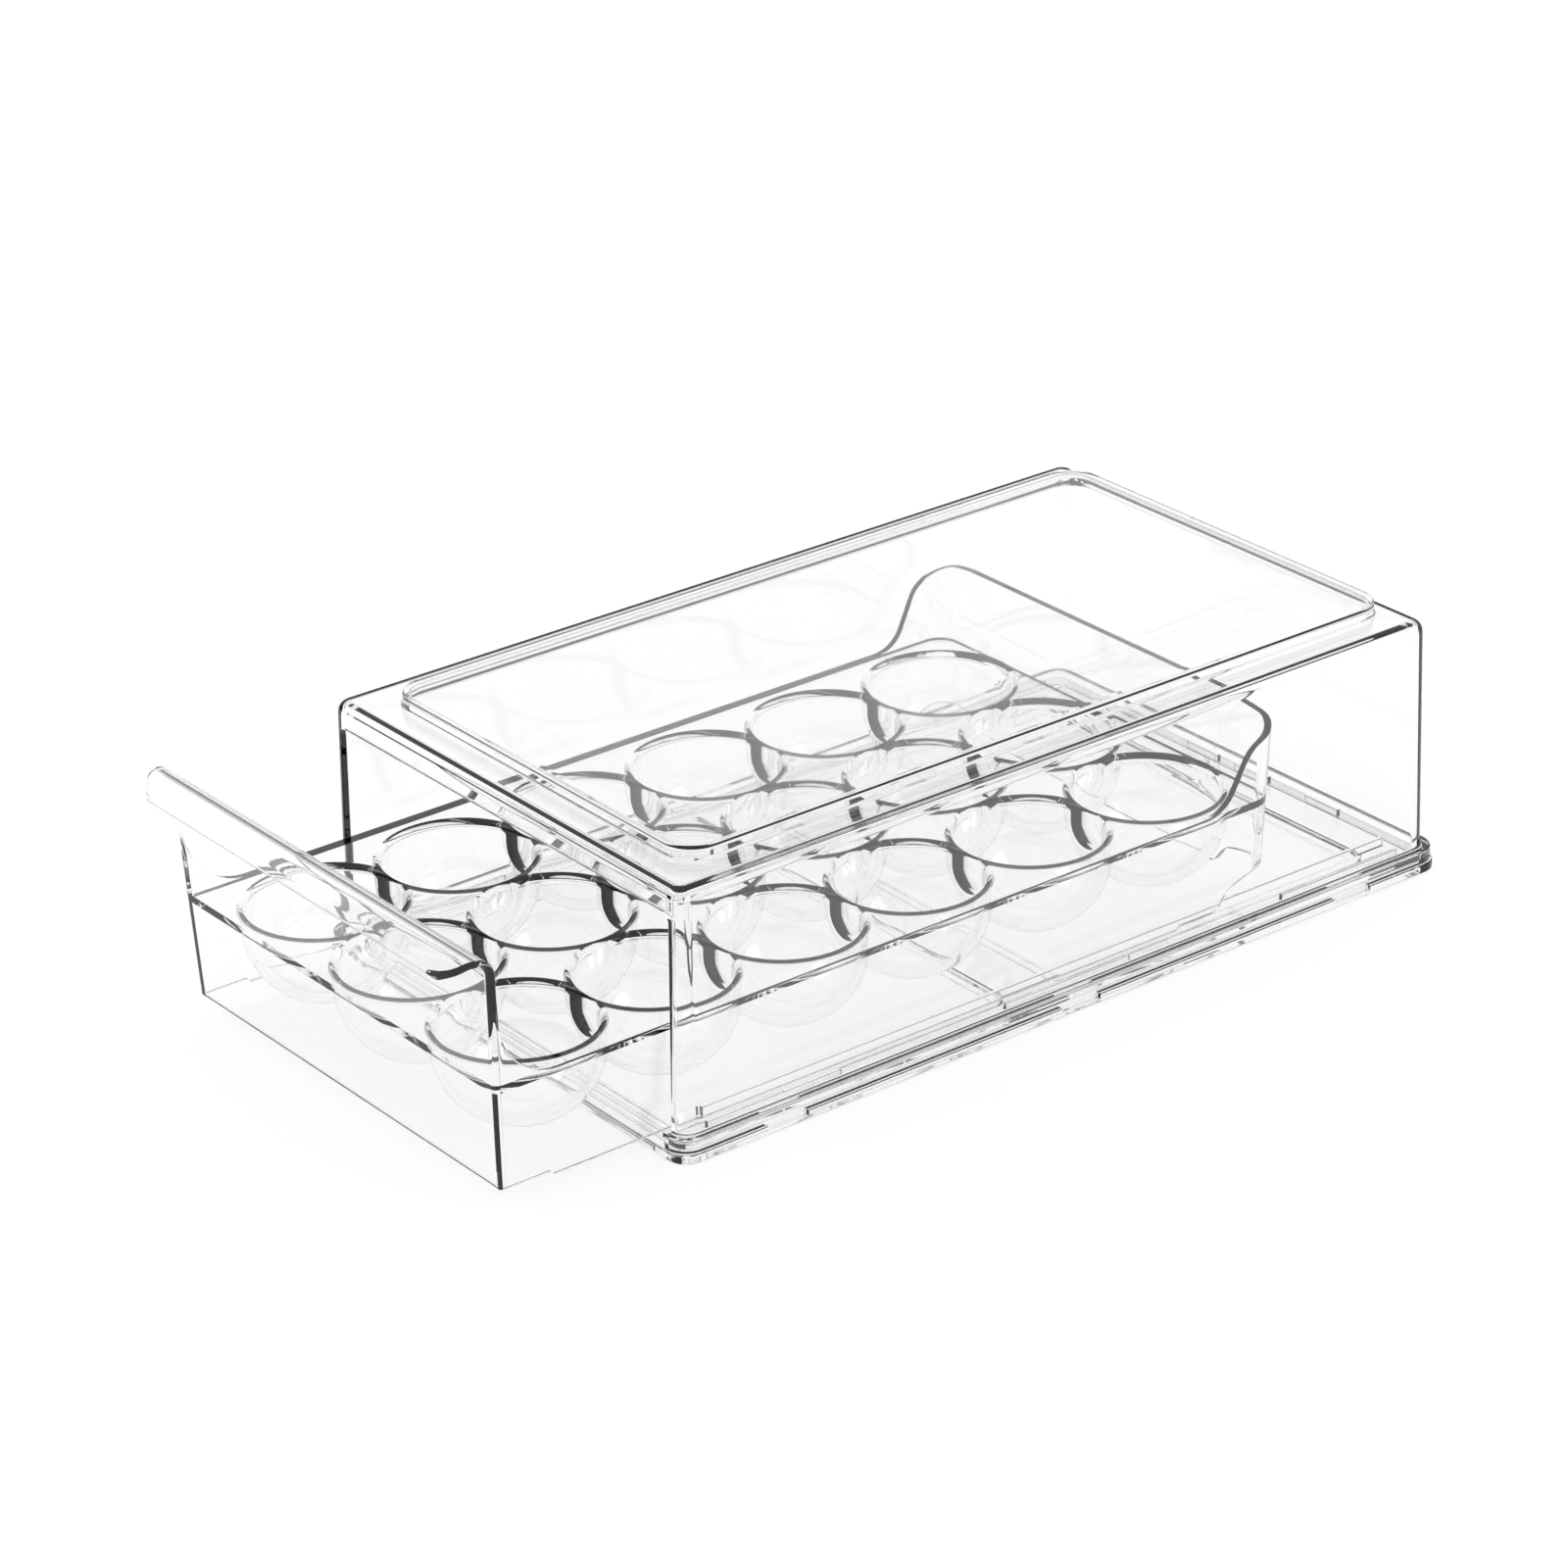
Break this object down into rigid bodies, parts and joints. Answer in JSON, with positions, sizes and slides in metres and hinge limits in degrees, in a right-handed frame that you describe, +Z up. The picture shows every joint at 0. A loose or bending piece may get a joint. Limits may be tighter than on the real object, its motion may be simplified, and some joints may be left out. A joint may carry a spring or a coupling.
{
  "type": "egg holder tray",
  "caption": "Clear drawer-type egg holder: a shell cover snapped onto an open base frame, with a sliding floorless tray of round egg cups and a curled grip lip.",
  "frame": {"origin": "on the underside of the base frame's front rim bar, at mid width, where the holder stands on a shelf", "axes": "+Z up, +Y from the drawer's mouth to the closed back, +X to the right seen from the front"},
  "size_m": [0.1922, 0.3922, 0.0936],
  "materials": {
    "cover_plastic": "clear, injection moulded, polished",
    "base_plastic": "clear, injection moulded, polished",
    "drawer_plastic": "clear, injection moulded, polished"
  },
  "bodies": {
    "housing": {"cover_platform": "cover_plastic", "cover_shoulder_sides": "cover_plastic", "cover_shoulder_ends": "cover_plastic", "cover_side_left": "cover_plastic", "cover_side_right": "cover_plastic", "cover_back": "cover_plastic", "cover_mouth_frame": "cover_plastic", "cover_foot": "cover_plastic", "base_rim": "base_plastic", "base_plate": "base_plastic", "base_guides": "base_plastic", "base_snap_arms": "base_plastic"},
    "drawer": {"front_panel": "drawer_plastic", "side_wall_left": "drawer_plastic", "side_wall_right": "drawer_plastic", "rear_wall": "drawer_plastic", "egg_cup_row1_1": "drawer_plastic", "egg_cup_row1_2": "drawer_plastic", "egg_cup_row1_3": "drawer_plastic", "egg_cup_row2_1": "drawer_plastic", "egg_cup_row2_2": "drawer_plastic", "egg_cup_row2_3": "drawer_plastic", "egg_cup_row3_1": "drawer_plastic", "egg_cup_row3_2": "drawer_plastic", "egg_cup_row3_3": "drawer_plastic", "egg_cup_row4_1": "drawer_plastic", "egg_cup_row4_2": "drawer_plastic", "egg_cup_row4_3": "drawer_plastic", "egg_cup_row5_1": "drawer_plastic", "egg_cup_row5_2": "drawer_plastic", "egg_cup_row5_3": "drawer_plastic", "egg_cup_row6_1": "drawer_plastic", "egg_cup_row6_2": "drawer_plastic", "egg_cup_row6_3": "drawer_plastic"}
  },
  "joints": [
    {"name": "drawer_slide", "type": "slide", "parent": "housing", "child": "drawer", "axis": [0, -1, 0], "range_m": [-0.057, 0.09]}
  ]
}
